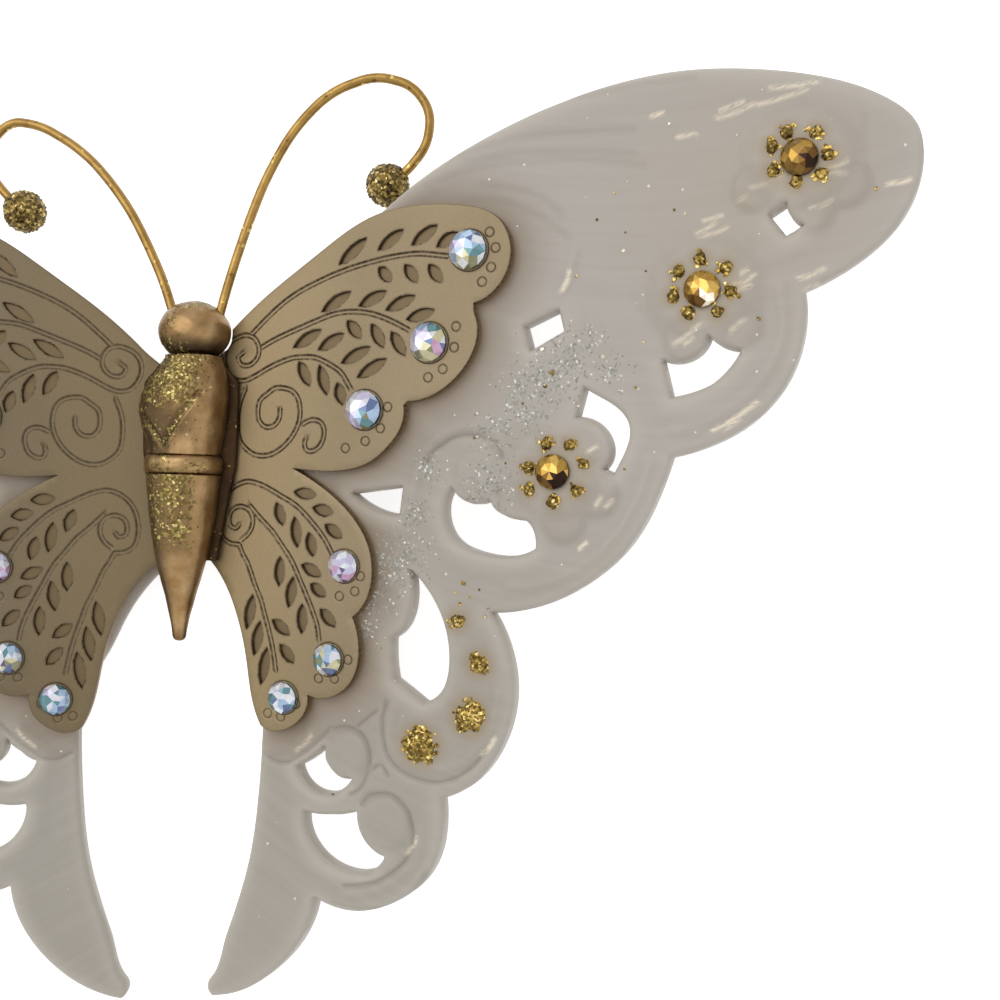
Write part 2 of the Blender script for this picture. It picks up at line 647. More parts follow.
CHANNEL_HALF_WIDTH = 0.32
CHANNEL_WALL = 0.15
CHANNEL_DEPTH = 0.12
BURN_WIDTH = 0.13
RING_MARK_RADIUS = 0.56
RING_MARK_HALF_WIDTH = 0.13
RING_MARK_DEPTH = 0.08
channel_lines = [
    [(9.1, 13.6), (10.6, 15.0), (13.8, 17.6), (19.6, 20.4), (25.5, 22.1), (29.0, 22.7), (31.4, 22.9),
     (36.1, 22.4)],
    [(10.5, 11.8), (11.6, 12.4), (12.9, 13.0), (14.4, 13.6), (16.0, 14.2), (17.9, 14.9), (21.1, 15.9),
     (25.5, 15.8), (28.5, 14.8), (31.1, 13.5)],
    [(7.7, 11.1), (7.1, 10.6), (7.5, 9.7), (8.5, 9.5), (9.5, 10.0), (10.1, 11.0), (10.0, 12.1), (9.4, 13.0),
     (8.4, 13.4), (6.9, 13.1), (5.8, 12.4), (5.2, 11.4), (5.1, 10.1), (5.6, 8.8), (6.6, 7.8), (8.1, 7.6),
     (9.7, 8.2), (11.4, 9.1), (13.3, 9.9), (15.0, 10.4), (16.4, 10.5), (18.2, 10.4), (19.3, 10.0),
     (20.5, 9.4), (21.5, 8.8), (23.3, 6.4)],
    [(13.4, 4.0), (13.3, 2.8), (12.6, 1.9), (11.3, 1.7), (10.4, 2.5), (10.2, 3.8), (10.5, 5.1), (11.5, 5.9),
     (12.6, 6.6), (13.9, 6.6), (15.1, 6.2), (15.9, 5.3), (16.2, 4.2), (16.2, 2.7), (15.7, 1.3), (14.8, 0.0),
     (13.7, -1.0), (12.5, -1.7), (11.0, -2.0), (9.7, -1.8), (8.7, -1.2), (7.8, -0.3), (7.4, 0.8),
     (7.3, 2.1), (7.3, 3.3), (7.5, 4.5), (7.9, 5.7), (8.4, 6.8)],
    [(16.7, 2.1), (17.5, 2.5), (18.4, 2.6), (19.3, 2.2), (19.7, 1.3), (19.6, 0.3), (19.1, -0.7),
     (18.1, -1.3), (17.3, -1.2), (17.0, -0.4), (17.2, 0.4)],
    [(8.0, -13.4), (6.5, -13.2), (5.5, -12.5), (5.0, -11.0), (5.1, -9.0), (5.9, -7.1), (7.2, -5.9),
     (8.9, -5.3), (10.7, -5.6), (12.2, -6.2), (13.8, -7.0), (15.9, -8.1), (18.4, -10.3), (20.1, -12.2),
     (21.4, -14.3)],
    [(7.9, -10.8), (7.4, -11.3), (6.6, -11.0), (6.4, -10.0), (6.8, -9.0), (8.0, -8.5), (9.2, -8.9),
     (9.8, -9.8), (9.8, -10.9), (9.2, -12.0), (8.2, -12.8)],
    [(9.4, -8.4), (10.7, -9.7), (11.7, -10.6), (12.8, -11.6), (13.7, -12.7), (14.5, -13.7), (15.3, -14.7),
     (17.0, -17.8), (18.4, -20.6), (19.4, -23.0), (19.8, -25.1)],
    [(8.0, -13.5), (8.6, -14.7), (9.2, -15.6), (9.7, -16.7), (10.2, -17.9), (10.7, -19.0), (11.3, -20.2),
     (11.8, -21.7), (12.7, -24.4), (13.3, -26.7), (13.8, -29.4)],
]
ring_marks = [
    (41.1, 25.1), (41.9, 23.2), (41.4, 20.9), (40.3, 19.2), (37.1, 13.9), (36.9, 11.4), (35.5, 8.8),
    (33.6, 7.8), (28.3, 4.2), (27.4, 1.6), (25.4, 0.0), (22.7, -0.9), (25.2, -16.7), (24.5, -18.6),
    (22.4, -19.3), (23.8, -27.1), (22.0, -29.6), (19.8, -29.7), (16.7, -33.1), (14.6, -34.9), (12.7, -34.6),
]
SHEET_READ_SCALE = 0.99
SEAT_RING_GAP = 0.12
LEAF_WALL = 0.1
SHEET_EDGE_RADIUS = 0.12
SHEET_RIM_STEP = 0.35
SHEET_FIRST_RING = 0.04
SHEET_GRID_STEP = 0.8
SHEET_SMOOTH_ANGLE = radians(40.0)
SHEET_CURVE_STEP = 0.3
LEAF_STEP = 0.25
LEAF_BURN = 0.75
EDGE_BURN_WIDTH = 0.1
BODY_SIDE = (27, 6)
# How dark the burnt edges are, and how light the metal is
sheet_tones = {"right": (1.0, 1.09), "left": (0.7, 0.68)}


def on_sheet(place):
    """A place read from the photo's sheet, corrected for the sheet's height above the casting."""
    return (SHEET_OUTSET + SHEET_READ_SCALE * place[0], SHEET_READ_SCALE * place[1])


def circle_line(middle, radius, step):
    """Even points round a circle."""
    turns = np.arange(max(12, ceil(2 * pi * radius / step)))
    turns = turns * 2 * pi / len(turns)
    return np.stack([middle[0] + radius * np.cos(turns), middle[1] + radius * np.sin(turns)], 1)


crystal_rows = (("upper", upper_crystal_shares, UPPER_CRYSTAL_DIAMETER),
                ("lower", lower_crystal_shares, LOWER_CRYSTAL_DIAMETER))
sheet_curves = [smooth_run([on_sheet(place) for place in line], SHEET_CURVE_STEP) for line in channel_lines]
mark_curves = [circle_line(on_sheet(place), RING_MARK_RADIUS, LEAF_STEP) for place in ring_marks]
mark_curves += [circle_line(sheet_place(share), diameter / 2 + SEAT_RING_GAP, SHEET_CURVE_STEP)
                for _, shares, diameter in crystal_rows for share in shares]
channel_tree = make_tree(*[smooth_run(curve, 0.06) for curve in sheet_curves])
mark_tree = make_tree(*[smooth_loop(curve, 0.05) for curve in mark_curves])


def make_sheet(side):
    """One gold sheet, dressed, with the layers that its material reads."""
    node = "filigree_" + side
    loops = face_loops(node, side, LEFT_SHEET_SHIFT, SHEET_THICKNESS)
    leaves = [smooth_loop(loop, LEAF_STEP) for loop in loops[1:]]
    leaf_tree = make_tree(*[smooth_loop(loop, 0.08) for loop in leaves])
    channel_floor = CHANNEL_HALF_WIDTH - CHANNEL_WALL
    half_rows = (CHANNEL_HALF_WIDTH + BURN_WIDTH, CHANNEL_HALF_WIDTH, channel_floor,
                 channel_floor - BURN_WIDTH)
    channel_rows = [-row for row in half_rows] + [0.0] + list(half_rows)
    mark_edge = RING_MARK_HALF_WIDTH + BURN_WIDTH
    mark_rows = (-mark_edge, -RING_MARK_HALF_WIDTH, 0.0, RING_MARK_HALF_WIDTH, mark_edge)
    leaf_rows = (-LEAF_WALL - BURN_WIDTH, -LEAF_WALL, 0.0, BURN_WIDTH, 2 * BURN_WIDTH)
    lines = [(curve, False, channel_rows) for curve in sheet_curves]
    lines += [(curve, True, mark_rows) for curve in mark_curves]
    lines += [(leaf, True, leaf_rows) for leaf in leaves]

    def leaf_mask(places):
        return ~inside(places, [loops[0]] + leaves) & inside(places, [loops[0]])

    def heights(places, depth_in):
        height = SHEET_THICKNESS - edge_drop(depth_in, SHEET_EDGE_RADIUS)
        height -= CHANNEL_DEPTH * fade(channel_floor, CHANNEL_HALF_WIDTH, distances(channel_tree, places))
        height -= RING_MARK_DEPTH * np.clip(1 - distances(mark_tree, places) / RING_MARK_HALF_WIDTH, 0, 1)
        in_leaf = leaf_mask(places)
        deep = smoothstep(0, LEAF_WALL, distances(leaf_tree, places)) * in_leaf
        return np.where(in_leaf, SHEET_THICKNESS - LEAF_DEPTH * deep, height)

    rings = (SHEET_FIRST_RING, SHEET_EDGE_RADIUS)
    local, faces = make_plate(loops[:1], SHEET_RIM_STEP, rings, SHEET_GRID_STEP, lines, heights, (0.0,))
    made = wing_object("gold_sheet_" + side, local, faces, side, LEFT_SHEET_SHIFT, SHEET_SMOOTH_ANGLE)
    places = local[:, :2]
    on_foot = local[:, 2] == 0
    channel_off = np.abs(distances(channel_tree, places) - CHANNEL_HALF_WIDTH + CHANNEL_WALL / 2)
    leaf_off = distances(leaf_tree, places)
    burn = np.max([
        fade(0.0, EDGE_BURN_WIDTH, distances(make_tree(smooth_loop(loops[0], EDGE_BURN_WIDTH)), places)),
        fade(CHANNEL_WALL / 2, CHANNEL_WALL / 2 + BURN_WIDTH * 0.9, channel_off),
        fade(RING_MARK_HALF_WIDTH * 0.5, RING_MARK_HALF_WIDTH, distances(mark_tree, places)),
        LEAF_BURN * fade(0.0, 2 * BURN_WIDTH, leaf_off)], axis=0)
    burn_share, tone = sheet_tones[side]
    set_layers(
        made.data, burn=np.where(on_foot, 0, burn) * burn_share, wall=on_foot,
        near=smoothstep(*BODY_SIDE, local[:, 0]), tone=tone,
        pocket=leaf_mask(places) * (local[:, 2] > 0.5) * smoothstep(0, LEAF_WALL, leaf_off))
    dress(made, champagne, "champagne_sheet", node)


# Materials

class Paint:
    """A material's nodes, with short calls that add them and join them."""

    def __init__(self, name):
        self.material = bpy.data.materials.new(name)
        self.material.use_nodes = True
        self.tree = self.material.node_tree
        self.shader = self.tree.nodes["Principled BSDF"]
        self.place = self.add("ShaderNodeTexCoord").outputs["Object"]

    def add(self, kind, **settings):
        node = self.tree.nodes.new(kind)
        for name, value in settings.items():
            setattr(node, name, value)
        return node

    def put(self, socket, value):
        """Join an output to a socket, or set the socket's value."""
        if isinstance(value, bpy.types.NodeSocket):
            self.tree.links.new(value, socket)
        else:
            socket.default_value = value

    def math(self, operation, first, second=0.0):
        node = self.add("ShaderNodeMath", operation=operation)
        self.put(node.inputs[0], first)
        self.put(node.inputs[1], second)
        return node.outputs[0]

    def stretched(self, scale, turn=0.0):
        """The place in mm, turned in the plan view by degrees and then scaled along each axis."""
        turned = self.add("ShaderNodeMapping")
        self.put(turned.inputs["Vector"], self.place)
        turned.inputs["Rotation"].default_value = (0.0, 0.0, -radians(turn))
        node = self.add("ShaderNodeMapping")
        self.put(node.inputs["Vector"], turned.outputs[0])
        node.inputs["Scale"].default_value = [value / MM for value in scale]
        return node.outputs[0]

    def noise(self, size, detail=3.0, roughness=0.5, vector=None):
        """Noise whose features have about the given size in mm."""
        node = self.add("ShaderNodeTexNoise")
        self.put(node.inputs["Vector"], self.place if vector is None else vector)
        node.inputs["Scale"].default_value = 1 / (size * MM) if vector is None else 1 / size
        node.inputs["Detail"].default_value = detail
        node.inputs["Roughness"].default_value = roughness
        return node.outputs["Fac"]

    def cells(self, size):
        """Cells of the given size in mm: their random colour and the distance from their middle."""
        node = self.add("ShaderNodeTexVoronoi")
        self.put(node.inputs["Vector"], self.place)
        node.inputs["Scale"].default_value = 1 / (size * MM)
        return node.outputs["Color"], node.outputs["Distance"]

    def ramp(self, factor, stops):
        """A colour or grey ramp through (place, value) stops."""
        node = self.add("ShaderNodeValToRGB")
        self.put(node.inputs["Fac"], factor)
        elements = node.color_ramp.elements
        while len(elements) < len(stops):
            elements.new(0.5)
        for element, (place, value) in zip(elements, stops):
            element.position = place
            element.color = (*value, 1.0) if isinstance(value, tuple) else (value, value, value, 1.0)
        return node.outputs["Color"]

    def mix(self, factor, first, second, blend="MIX"):
        node = self.add("ShaderNodeMix", data_type="RGBA", blend_type=blend)
        self.put(node.inputs[0], factor)
        for socket, value in ((node.inputs[6], first), (node.inputs[7], second)):
            self.put(socket, (*value, 1.0) if isinstance(value, tuple) else value)
        return node.outputs[2]

    def layer(self, name):
        return self.add("ShaderNodeAttribute", attribute_name=name).outputs["Fac"]

    def tint(self, base, tints):
        """A base colour under tints of (layer, share, colour)."""
        for name, share, colour in tints:
            base = self.mix(self.math("MULTIPLY", self.layer(name), share), base, colour)
        return base

    def separate(self, colour):
        node = self.add("ShaderNodeSeparateColor")
        self.put(node.inputs[0], colour)
        return node.outputs

    def bump(self, height, depth, strength=1.0, normal=None):
        """Bump whose height input of 1 stands for a depth in mm."""
        node = self.add("ShaderNodeBump")
        node.inputs["Distance"].default_value = depth * MM
        node.inputs["Strength"].default_value = strength
        self.put(node.inputs["Height"], height)
        if normal is not None:
            self.put(node.inputs["Normal"], normal)
        return node.outputs["Normal"]

    def finish(self, **values):
        """Set or join the shader's sockets, named with underscores for spaces."""
        for name, value in values.items():
            self.put(self.shader.inputs[name.replace("_", " ")], value)
        return self.material


# Tints from the bottom up, each with its layer, its share and its colour
casting_ground = (("outer", 0.75, (0.55, 0.505, 0.462)), ("tail", 0.6, (0.465, 0.44, 0.375)))
casting_tints = (
    ("warm", 0.5, (0.50, 0.425, 0.335)), ("petal", 0.25, (0.40, 0.34, 0.275)),
    ("glow", 0.6, (0.29, 0.205, 0.13)), ("wall", 0.8, (0.74, 0.69, 0.62)),
    ("carved", 0.22, (0.27, 0.24, 0.20)), ("stain", 0.45, (0.40, 0.28, 0.13)),
)
sheet_tints = (("pocket", 0.92, (0.15, 0.104, 0.05)), ("wall", 1.0, (0.42, 0.29, 0.17)))
PEARL_STROKE, SPARK, SOOT_BROWN = (0.98, 0.87, 0.69), (0.95, 0.88, 0.76), (0.034, 0.018, 0.007)
SILVER_CELL, SPARK_CELL = 0.24, 2.1


def pearl_material():
    """Pearl-white resin with streaks, strokes of pearl pigment, tints, silver glitter and sparks."""
    paint = Paint("pearl_resin")
    cloud = paint.ramp(paint.noise(22.0, 4.0, 0.55), [
        (0.3, (0.43, 0.402, 0.362)), (0.5, (0.447, 0.407, 0.352)), (0.7, (0.475, 0.43, 0.365))])
    cloud = paint.tint(cloud, casting_ground)
    swirl_place = paint.add("ShaderNodeCombineXYZ")
    split = paint.add("ShaderNodeSeparateXYZ")
    paint.put(split.inputs[0], paint.place)
    paint.put(swirl_place.inputs[0], paint.math("MULTIPLY", paint.layer("swirl"), 0.9))
    paint.put(swirl_place.inputs[1], paint.math("MULTIPLY", split.outputs["X"], 0.05 / MM))
    streak = paint.noise(1.0, 4.0, 0.6, swirl_place.outputs[0])
    streak = paint.ramp(streak, [(0.35, (0.39, 0.35, 0.30)), (0.68, (0.50, 0.46, 0.41))])
    fine = paint.noise(1.3, 4.0, 0.75, paint.stretched((1.0, 4.5, 1.0), 24.0))
    stroke = paint.math("MULTIPLY", paint.ramp(fine, [(0.37, 0.0), (0.52, 1.0)]), paint.layer("pearl"))
    stained = paint.tint(paint.mix(stroke, paint.mix(0.28, cloud, streak), PEARL_STROKE), casting_tints)
    shine = paint.separate(paint.cells(SILVER_CELL)[0])
    clumps = paint.ramp(paint.noise(1.4, 3.0, 0.6), [(0.4, 0.15), (0.62, 1.0)])
    wanted = paint.math("MULTIPLY", paint.layer("silver"), clumps)
    silver = paint.math("LESS_THAN", shine[0], paint.math("MULTIPLY", wanted, 0.95))
    silver_tone = paint.ramp(shine[1], [
        (0.0, (0.29, 0.285, 0.245)), (0.4, (0.38, 0.375, 0.325)), (0.8, (0.55, 0.54, 0.48)),
        (0.95, (0.92, 0.9, 0.82))])
    spark_colour, spark_distance = paint.cells(SPARK_CELL)
    spark_size = paint.math("MULTIPLY", paint.separate(spark_colour)[0], 0.085)
    spark = paint.math("MULTIPLY", paint.math("LESS_THAN", spark_distance, spark_size), 0.8)
    colour = paint.mix(silver, paint.mix(spark, stained, SPARK), silver_tone)
    normal = paint.bump(paint.noise(1.6, 2.0), 0.05, 0.35)
    tilt = paint.math("MULTIPLY", shine[2], silver)
    return paint.finish(
        Base_Color=colour, Roughness=0.48, Normal=paint.bump(tilt, 0.1, 0.8, normal), IOR=1.4,
        Coat_Weight=0.06, Coat_Roughness=0.2, Subsurface_Weight=0.35,
        Subsurface_Radius=(1.0, 0.85, 0.7), Subsurface_Scale=1.8 * MM)


def sheet_material():
    """Champagne-gold sheet with a fine grain, darker pockets and burnt edges."""
    paint = Paint("champagne_sheet")
    cloud = paint.ramp(paint.noise(16.0, 3.0), [(0.3, (0.206, 0.156, 0.088)), (0.7, (0.236, 0.182, 0.107))])
    grain = paint.ramp(paint.noise(0.22, 2.0), [(0.3, 0.93), (0.7, 1.05)])
    cloud = paint.tint(cloud, [("near", 0.85, (0.28, 0.205, 0.105))])
    cloud = paint.mix(1.0, cloud, paint.layer("tone"), "MULTIPLY")
    walled = paint.tint(paint.mix(1.0, cloud, grain, "MULTIPLY"), sheet_tints)
    soot = paint.ramp(paint.noise(0.5, 2.0), [(0.3, 0.45), (0.6, 1.0)])
    burnt = paint.mix(paint.math("MULTIPLY", paint.layer("burn"), soot), walled, SOOT_BROWN)
    normal = paint.bump(paint.noise(0.3, 3.0), 0.012, 0.6)
    return paint.finish(Base_Color=burnt, Metallic=0.6, Roughness=0.47, Normal=normal)


def metal_material(name, dark, mid, light, bright, flake_size, metallic, roughness, flaked=True):
    """Bronze or gold with glitter flakes: each flake has its own tone and tilt."""
    paint = Paint(name)
    shine = paint.separate(paint.cells(flake_size)[0])
    mottle = paint.ramp(paint.noise(2.4, 4.0, 0.6), [(0.3, dark), (0.7, mid)])
    if flaked:
        mottle = paint.mix(1.0, mottle, paint.layer("shade"), "MULTIPLY")
    deep = tuple(0.6 * value for value in dark)
    half = tuple(0.45 * value for value in light)
    tone = paint.ramp(shine[0], [(0.0, deep), (0.5, half), (0.85, light), (1.0, bright)])
    wanted = paint.layer("glitter") if flaked else 0.06
    mask = paint.math("GREATER_THAN", wanted, shine[1])
    colour = paint.mix(mask, mottle, tone)
    normal = paint.bump(paint.noise(0.7, 3.0), 0.05, 0.7)
    tilt = paint.math("MULTIPLY", shine[2], mask)
    return paint.finish(Base_Color=colour, Metallic=metallic, Roughness=roughness,
                        Normal=paint.bump(tilt, flake_size * 0.4, 1.0, normal))


def stone_material(name, metallic, roughness, coat):
    """A cut stone: each facet has its own colour, kept in its mesh."""
    paint = Paint(name)
    colour = paint.add("ShaderNodeVertexColor", layer_name="facet").outputs["Color"]
    veil = paint.ramp(paint.noise(0.8, 2.0), [(0.3, 0.9), (0.7, 1.08)])
    return paint.finish(Base_Color=paint.mix(1.0, colour, veil, "MULTIPLY"), Metallic=metallic,
                        Roughness=roughness, Coat_Weight=coat, Coat_Roughness=0.03)


pearl = pearl_material()
champagne = sheet_material()
BRONZE_DARK, BRONZE_MID = (0.21, 0.12, 0.044), (0.36, 0.236, 0.115)
GLITTER_LIGHT, GLITTER_BRIGHT = (0.34, 0.262, 0.08), (0.66, 0.53, 0.22)
GOLD_DARK, GOLD_MID = (0.22, 0.125, 0.035), (0.40, 0.25, 0.075)
GOLD_LIGHT, GOLD_BRIGHT = (0.72, 0.52, 0.16), (1.0, 0.85, 0.4)
bronze = metal_material("bronze", BRONZE_DARK, BRONZE_MID, GLITTER_LIGHT, GLITTER_BRIGHT, 0.3, 0.85, 0.34)
bed_bronze = metal_material("bed_bronze", (0.022, 0.01, 0.003), (0.048, 0.024, 0.007), (0.12, 0.078, 0.026),
                            GLITTER_LIGHT, 0.24, 0.8, 0.48)
wire_gold = metal_material("gold_wire", GOLD_DARK, GOLD_MID, GOLD_LIGHT, GOLD_BRIGHT, 0.4, 0.95, 0.33, False)
glitter_gold = metal_material("gold_glitter", (0.12, 0.068, 0.01), (0.32, 0.2, 0.042), (0.56, 0.38, 0.09),
                              (0.95, 0.75, 0.3), 0.3, 0.75, 0.36)
ball_gold = metal_material("ball_glitter", (0.05, 0.028, 0.007), (0.15, 0.088, 0.022), (0.34, 0.235, 0.065),
                           (0.8, 0.62, 0.27), 0.36, 0.8, 0.38)
bright_flake = metal_material("bright_flake", (0.9, 0.76, 0.5), (1.0, 0.9, 0.68), (1.0, 0.9, 0.7),
                              (1.0, 0.95, 0.8), 0.4, 0.4, 0.35)
spine_bronze = metal_material("spine_bronze", (0.10, 0.06, 0.025), (0.2, 0.125, 0.06), (0.3, 0.2, 0.1),
                              (0.4, 0.3, 0.15), 0.5, 0.5, 0.5, False)
rainbow_glass = stone_material("rainbow_glass", 0.25, 0.12, 0.8)
gold_glass = stone_material("gold_glass", 0.9, 0.28, 0.1)

# Wings and sheets

for side in SIDES:
    make_wing(side)
    make_sheet(side)

# Cut stones

facet_colours = {
    "W": (0.80, 0.82, 0.88), "L": (0.60, 0.56, 0.76), "S": (0.40, 0.55, 0.76), "D": (0.10, 0.16, 0.34),
    "T": (0.10, 0.27, 0.30), "P": (0.62, 0.58, 0.34), "R": (0.60, 0.34, 0.52), "O": (0.26, 0.26, 0.12),
    "V": (0.12, 0.08, 0.20), "A": (0.40, 0.235, 0.045), "F": (0.60, 0.39, 0.10), "B": (0.14, 0.07, 0.014),
    "N": (0.20, 0.118, 0.028), "K": (0.02, 0.008, 0.003), "U": (1.0, 0.92, 0.75),
}
# The two colours that each part of the turn draws from, from the right over the top, per stone
stone_tones = {
    "upper": ("SW SD WS WL WS WP PO TW", "WP WT LS WL WL PO PO RD", "SD WL LW LW WL SL OT DS"),
    "lower": ("LW WL WL LW WR WL RV RL", "SW ST WP WT OT PW VD PO", "WS WT WL TW TD WT SD ST"),
    "gold": ("FA FA FA AF AB AB KK KF", "FF FA AF FA AA BB UU FF", "NB NA NN AN NA NB BN KK"),
}
TABLE_SHARE = 0.50
STAR_SHARE = 0.80
STAR_LEVEL_SHARE = 0.74
GIRDLE_LEVEL_SHARE = 0.36
GIRDLE_SHADE = 0.3
GIRDLE_TILT = 0.35


def cut_stone(place, front, diameter, side, shift, tones, seed, node, material, slot):
    """A cut stone with a table, star facets, kites and girdle facets, each in a colour of its own."""
    draw = random.Random(seed)
    radius = diameter / 2
    height = diameter * STONE_HEIGHT_SHARE

    def ring(share, half_count, start, level):
        angles = [(i + start) * pi / half_count for i in range(2 * half_count)]
        return [(share * radius * cos(angle), share * radius * sin(angle), level) for angle in angles]

    points = [(0.0, 0.0, height)] + ring(TABLE_SHARE, 4, 0, height)
    points += ring(STAR_SHARE, 4, 0.5, STAR_LEVEL_SHARE * height)
    points += ring(1, 8, 0, GIRDLE_LEVEL_SHARE * height) + ring(1, 8, 0, 0.0)
    faces = []
    for i in range(8):
        table, star, rim = 1 + i, 9 + i, 17 + 2 * i
        next_table = 1 + (i + 1) % 8
        last_star = 9 + (i - 1) % 8
        next_rim = 17 + (2 * i + 2) % 16
        faces += [(0, table, next_table), (table, star, next_table), (table, last_star, rim, star),
                  (star, rim, rim + 1), (star, rim + 1, next_rim)]
    faces += [(17 + i, 33 + i, 33 + (i + 1) % 16, 17 + (i + 1) % 16) for i in range(16)]
    faces.append(tuple(33 + i for i in reversed(range(16))))
    turn = draw.uniform(0, 2 * pi)
    local = np.array(points)
    local[:, :2] = local[:, :2] @ np.array([[cos(turn), sin(turn)], [-sin(turn), cos(turn)]])
    made = wing_object("cut_" + node, local + np.array([*place, front]), faces, side, shift)
    layer = made.data.color_attributes.new("facet", "FLOAT_COLOR", "CORNER")
    middle = sum((v.co for v in made.data.vertices), Vector()) / len(made.data.vertices)
    parts = tones.split()
    for polygon in made.data.polygons:
        off = polygon.center - middle
        share = (atan2(off.y, off.x) / (2 * pi)) % 1.0
        tone = facet_colours[draw.choice(parts[int(share * len(parts))])]
        shade = GIRDLE_SHADE if polygon.normal.z < GIRDLE_TILT else 1.0
        for index in polygon.loop_indices:
            layer.data[index].color = (*(shade * value for value in tone), 1.0)
    dress(made, material, slot, node)


for side in SIDES:
    for row, shares, diameter in crystal_rows:
        for count, share in enumerate(shares):
            node = f"crystal_{row}_{side}_{count + 1}"
            cut_stone(sheet_place(share), SHEET_THICKNESS, diameter, side, LEFT_SHEET_SHIFT,
                      stone_tones[row][count], 10 * diameter + count, node, rainbow_glass, "crystal")
    for count, (flower, share) in enumerate(flower_shares.items()):
        node = f"gold_stone_{flower}_{side}"
        cut_stone(wing_place(share), FLOWER_PAD_HEIGHT, GOLD_STONE_DIAMETER, side, LEFT_WING_SHIFT,
                  stone_tones["gold"][count], 40 + count, node, gold_glass, "gold_stone")


# Glitter: domes of clear glue full of coarse flakes

DOME_POWER = 2.4
DOME_CELL = 0.12
DOME_GRAIN = 0.34
DOME_LIFT = 0.3
DOME_RIM_SHARE = 0.93
GRAIN_SLOPE = 1.6


def grain(place, size):
    """Height of one flake, from 0 at its edge to 1 at its middle."""
    return max(0.0, 1 - GRAIN_SLOPE * noise.voronoi(place / size)[0][0])


def glitter_object(name, local, faces, side, material, smooth_angle, *nodes):
    """A piece that glitters all over."""
    made = wing_object(name, local, faces, side, LEFT_WING_SHIFT, smooth_angle)
    set_layers(made.data, glitter=1.0, shade=1.0)
    dress(made, material, "gold_glitter", *nodes)


def glitter_domes(name, spots, foot, height, side, node):
    """Rough domes of one height, each from (place, radius)."""
    parts, faces = [], []
    for count, (place, radius) in enumerate(spots):
        first = sum(len(part) for part in parts)
        rings = max(6, ceil(radius / DOME_CELL))
        around = 3 * rings
        dome = [(0.0, 0.0, height)]
        for ring in range(1, rings + 1):
            share = ring / rings
            for step in range(around):
                turn = 2 * pi * step / around
                spot = Vector((1.6 * cos(turn), 1.6 * sin(turn), count * 3.7))
                reach = radius * share * (0.95 + 0.3 * noise.fractal(spot, 1.0, 2.0, 3))
                dome.append((reach * cos(turn), reach * sin(turn), height * (1 - share ** DOME_POWER)))
        dome = np.array(dome)
        for point in dome:
            share = np.linalg.norm(point[:2]) / radius
            lift = grain(Vector((*point[:2], count * 9.1)), DOME_GRAIN) - 0.35
            point[2] = max(0.0, point[2] + DOME_LIFT * lift * (share < DOME_RIM_SHARE))
        parts.append(dome + np.array([*place, foot]))
        faces += [(first, first + 1 + step, first + 1 + (step + 1) % around) for step in range(around)]
        for inner in range(first + 1, first + 1 + (rings - 1) * around, around):
            outer = inner + around
            faces += [(inner + step, outer + step, outer + (step + 1) % around, inner + (step + 1) % around)
                      for step in range(around)]
        outer = first + 1 + (rings - 1) * around
        faces.append(tuple(outer + step for step in reversed(range(around))))
    glitter_object(name, np.concatenate(parts), faces, side, glitter_gold, radians(60.0), node)


for side in SIDES:
    for flower in flower_shares:
        spots = [(place, DOT_RADIUS) for place in dot_places(flower)]
        node = f"glitter_dots_{flower}_{side}"
        glitter_domes(f"dots_{flower}_{side}", spots, FLOWER_PAD_HEIGHT, DOT_HEIGHT, side, node)
    glitter_domes("dabs_" + side, dabs, 0.0, DAB_HEIGHT, side, "glitter_dabs_" + side)


# Loose specks on the castings, in shares of the casting, with a radius in mm

bright_specks = [
    ((64.0, 82.2), 0.26), ((61.7, 71.5), 0.3), ((53.5, 72.4), 0.28), ((71.8, 85.6), 0.18),
    ((78.0, 93.0), 0.16), ((69.5, 94.6), 0.15), ((58.6, 66.6), 0.18), ((50.2, 71.0), 0.16),
]
gold_specks = [
    ((55.0, 70.0), 0.34), ((58.2, 73.4), 0.2), ((66.0, 68.4), 0.2), ((67.0, 73.0), 0.18),
    ((62.6, 88.0), 0.16), ((43.4, 48.0), 0.3), ((43.0, 45.8), 0.26), ((44.4, 46.6), 0.2),
    ((42.2, 47.0), 0.18), ((86.4, 92.8), 0.2), ((49.0, 60.6), 0.18), ((58.8, 64.2), 0.18),
]
dark_specks = [
    ((44.4, 63.2), 0.2), ((60.4, 85.4), 0.18), ((94.7, 87.0), 0.24), ((81.3, 75.0), 0.24),
    ((67.9, 61.6), 0.22), ((66.3, 60.7), 0.16), ((64.9, 60.2), 0.2), ((64.2, 84.0), 0.14),
    ((70.4, 86.0), 0.18), ((67.0, 80.0), 0.16), ((57.8, 79.8), 0.24), ((54.0, 68.6), 0.26),
    ((51.0, 66.8), 0.18), ((48.6, 46.6), 0.16), ((47.0, 45.4), 0.14), ((45.6, 47.4), 0.18),
    ((46.6, 44.6), 0.14), ((31.6, 40.6), 0.2), ((25.0, 24.4), 0.14), ((19.2, 19.6), 0.14),
]
SPECK_THICKNESS = 0.06
SPECK_TILT = 0.12


